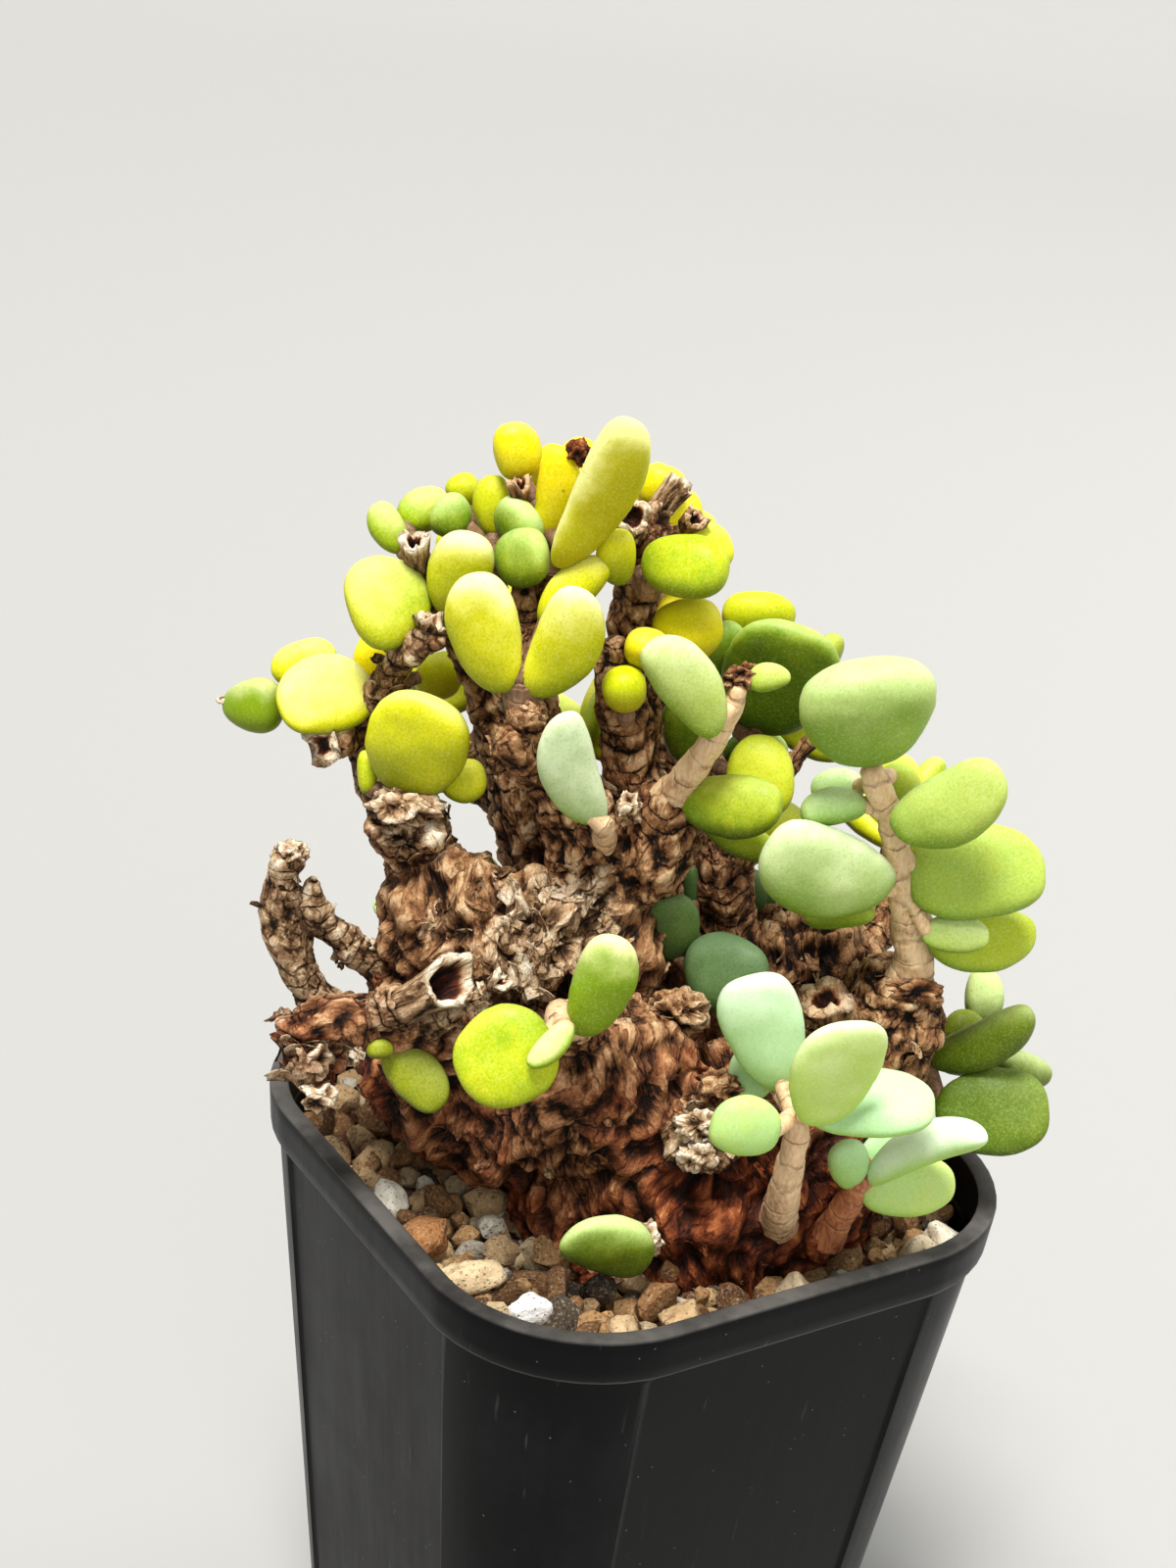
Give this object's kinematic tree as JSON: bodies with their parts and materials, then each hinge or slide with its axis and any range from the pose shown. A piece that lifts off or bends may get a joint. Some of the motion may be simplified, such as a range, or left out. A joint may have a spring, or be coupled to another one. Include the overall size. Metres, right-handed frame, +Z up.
{
  "type": "potted ceraria pygmaea",
  "caption": "Small caudex succulent with a gnarled woody trunk, knobbly limbs and plump leaves, in gravel in a square plastic nursery pot.",
  "frame": {"origin": "centre of the pot's flat underside", "axes": "+Z up out of the pot; +X and +Y square to the pot's sides"},
  "size_m": [0.0893, 0.0888, 0.174],
  "materials": {
    "pot": "black moulded plastic with a soft gloss and fine scratches",
    "gravel": "dry tan and ochre grit",
    "stone": "pale dusty pumice and quartz",
    "bark": "gnarled, flaking reddish-brown bark with grey and cream ringed limbs",
    "leaf_lime": "yellow-green succulent skin, satin with a waxy bloom",
    "leaf_gold": "golden yellow succulent skin, satin with a waxy bloom",
    "leaf_green": "mid green succulent skin, satin with a waxy bloom",
    "leaf_pale": "pale powdery green succulent skin, satin with a waxy bloom",
    "leaf_blue": "pale blue-green succulent skin, satin with a waxy bloom",
    "leaf_deep": "deep green succulent skin, satin with a waxy bloom"
  },
  "bodies": {
    "root": {"pot": "pot", "gravel": "gravel", "caudex": "bark", "stone_pale_wedge": "stone", "stone_white_left": "stone", "stone_white_front": "stone", "stone_block_front": "stone", "stone_oval_front": "stone", "stone_pale_round": "stone", "stone_white_right": "stone", "stone_cream_right": "stone", "stone_brown_left": "stone", "stone_pale_back": "stone", "shoot_left_outer": "leaf_lime", "shoot_left_round": "leaf_lime", "shoot_left_back": "leaf_gold", "shoot_crown_left": "leaf_lime", "shoot_crown_front": "leaf_lime", "shoot_crown_middle": "leaf_green", "shoot_crown_top": "leaf_gold", "shoot_crown_right": "leaf_lime", "shoot_crown_right_back": "leaf_gold", "shoot_crown_right_low": "leaf_gold", "shoot_ball": "leaf_gold", "shoot_right_upper": "leaf_green", "shoot_middle_twig": "leaf_pale", "shoot_middle_low": "leaf_green", "shoot_centre_leaf": "leaf_pale", "shoot_right_twig": "leaf_pale", "shoot_right_back": "leaf_lime", "shoot_front_rosette": "leaf_blue", "shoot_front_right": "leaf_blue", "shoot_front_left": "leaf_lime", "shoot_low_left": "leaf_green", "shoot_soil_leaf": "leaf_green", "shoot_inner_dark": "leaf_deep", "shoot_inner_back": "leaf_deep", "shoot_far_left_top": "leaf_lime", "shoot_far_left_side": "leaf_green", "shoot_far_middle_top": "leaf_gold", "shoot_far_middle_side": "leaf_green", "shoot_far_right_top": "leaf_lime", "shoot_far_middle_low": "leaf_green", "shoot_far_inner": "leaf_lime", "shoot_far_low": "leaf_blue"}
  },
  "joints": []
}
